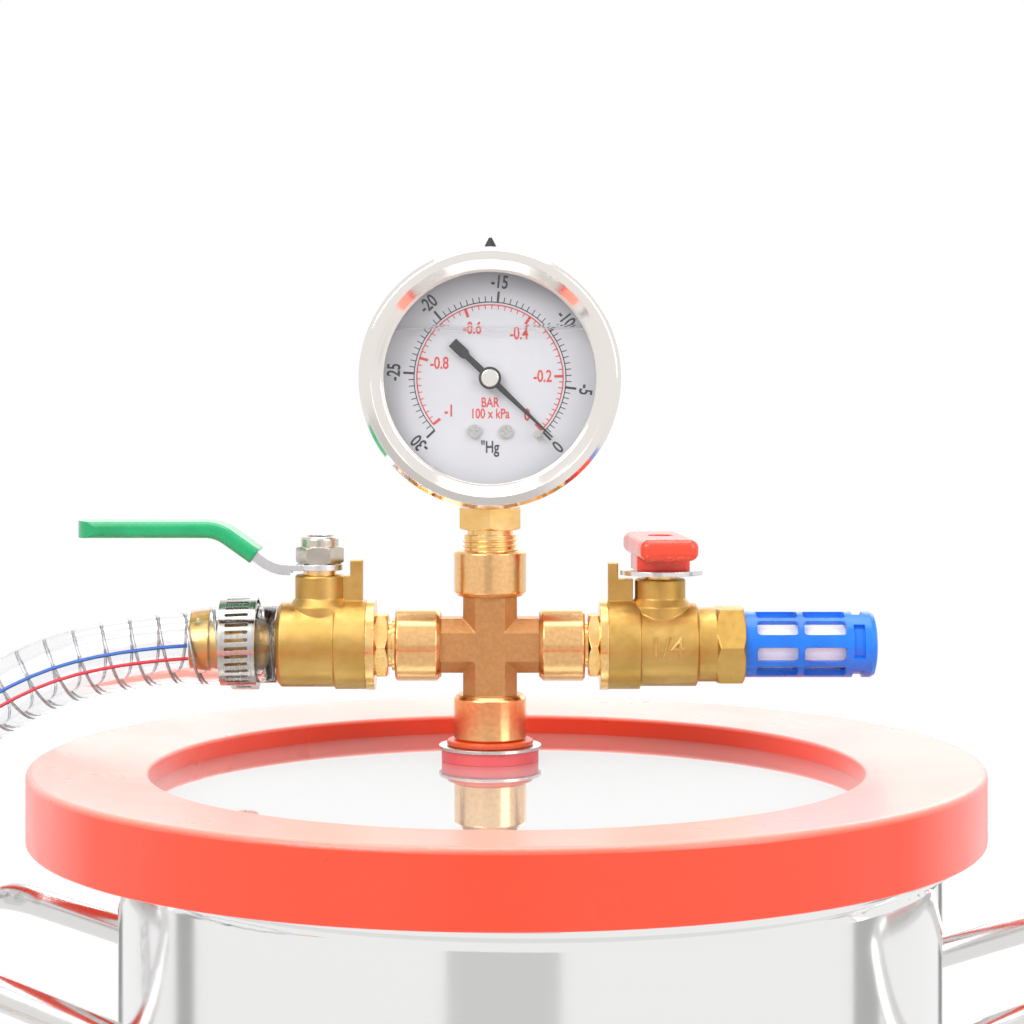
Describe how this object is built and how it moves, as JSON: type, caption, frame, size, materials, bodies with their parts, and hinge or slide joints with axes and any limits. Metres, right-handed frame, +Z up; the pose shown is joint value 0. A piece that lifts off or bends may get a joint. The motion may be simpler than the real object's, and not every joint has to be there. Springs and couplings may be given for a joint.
{
  "type": "vacuum chamber",
  "caption": "Steel pot with a clear glass lid in a soft seal ring, carrying a brass cross with a gauge, a lever valve and hose, and a vent valve with a silencer.",
  "frame": {"origin": "middle of the pot's underside, on the surface it stands on", "axes": "+Z up along the pot's axis, +X towards the vent valve, -Y towards the front"},
  "size_m": [0.5915, 0.2881, 0.3394],
  "materials": {
    "pot_steel": "mirror polished stainless steel",
    "handle_steel": "polished stainless bar",
    "seal_silicone": "soft satin silicone",
    "lid_glass": "clear polished glass",
    "gasket_red": "smooth rubber",
    "o_ring_orange": "smooth rubber",
    "washer_steel": "bright steel",
    "brass_cross": "turned and lightly polished",
    "brass_cast": "satin cast brass",
    "brass_bright": "bright turned brass",
    "ptfe": "plain white",
    "ball_chrome": "polished",
    "stem_brass": "turned",
    "lever_steel": "zinc plated",
    "grip_green": "dipped vinyl",
    "nut_steel": "plated",
    "nylon_blue": "smooth",
    "disc_steel": "plated",
    "wings_red": "dipped vinyl",
    "screw_steel": "plated",
    "silencer_blue": "moulded",
    "filter_white": "porous",
    "gauge_steel": "polished stainless steel",
    "gauge_glass": "clear",
    "dial_white": "matt pale grey print ground",
    "needle_black": "matt black",
    "rubber_black": "smooth",
    "clamp_steel": "bright strip steel",
    "hose_clear": "clear wall with a steel spiral",
    "strap_black": "woven strap"
  },
  "bodies": {
    "pot": {"pot": "pot_steel", "handle_left": "handle_steel", "handle_right": "handle_steel", "hose_coil": "hose_clear", "hose_tie": "strap_black", "hose_pump_fitting": "brass_bright"},
    "pump_handle": {"pump_valve_ball": "ball_chrome", "pump_valve_stem": "stem_brass", "pump_lever": "lever_steel", "pump_lever_grip": "grip_green", "pump_lever_nut": "nut_steel", "pump_lever_nut_insert": "nylon_blue"},
    "vent_handle": {"vent_valve_ball": "ball_chrome", "vent_valve_stem": "stem_brass", "vent_handle_disc": "disc_steel", "vent_handle_wings": "wings_red", "vent_handle_screw": "screw_steel"},
    "needle": {"gauge_needle": "needle_black", "gauge_needle_arbor": "stem_brass", "gauge_needle_cap": "gauge_steel"},
    "lid": {"seal_ring": "seal_silicone", "lid_glass": "lid_glass", "port_gasket_top": "gasket_red", "port_washer_top": "washer_steel", "port_o_ring": "o_ring_orange", "port_gasket_bottom": "gasket_red", "port_washer_bottom": "washer_steel", "port_nut": "brass_bright", "port_nipple": "brass_bright", "cross": "brass_cross", "pump_valve_end": "brass_bright", "pump_valve_body": "brass_cast", "pump_valve_seats": "ptfe", "pump_valve_packing": "ptfe", "pump_valve_gland": "brass_bright", "vent_valve_end": "brass_bright", "vent_valve_body": "brass_cast", "vent_valve_seats": "ptfe", "vent_valve_packing": "ptfe", "vent_valve_gland": "brass_bright", "silencer_cage": "silencer_blue", "silencer_core": "filter_white", "gauge_socket": "brass_bright", "gauge_case": "gauge_steel", "gauge_bezel": "gauge_steel", "gauge_window": "gauge_glass", "gauge_dial": "dial_white", "gauge_dial_screws": "screw_steel", "gauge_stop_pin": "screw_steel", "gauge_movement_frame": "stem_brass", "gauge_bourdon_tube": "brass_bright", "gauge_fill_plug": "rubber_black", "hose_clamp_band": "clamp_steel", "hose_clamp_housing": "clamp_steel", "hose_clamp_screw": "screw_steel", "hose": "hose_clear"}
  },
  "joints": [
    {"name": "lid_lift", "type": "slide", "parent": "pot", "child": "lid", "axis": [0, 0, 1], "range_m": [0, 0.2]},
    {"name": "pump_valve_turn", "type": "hinge", "parent": "lid", "child": "pump_handle", "pos_m": [-0.0554, 0.04, 0.231], "axis": [0, 0, -1], "range_deg": [0, 90]},
    {"name": "vent_valve_turn", "type": "hinge", "parent": "lid", "child": "vent_handle", "pos_m": [0.0349, 0.04, 0.231], "axis": [0, 0, 1], "range_deg": [0, 90]},
    {"name": "needle_turn", "type": "hinge", "parent": "lid", "child": "needle", "pos_m": [-0.0102, 0.04, 0.3017], "axis": [0, -1, 0], "range_deg": [0, 266.9], "stiffness_Nm_per_rad": 0.0004}
  ]
}
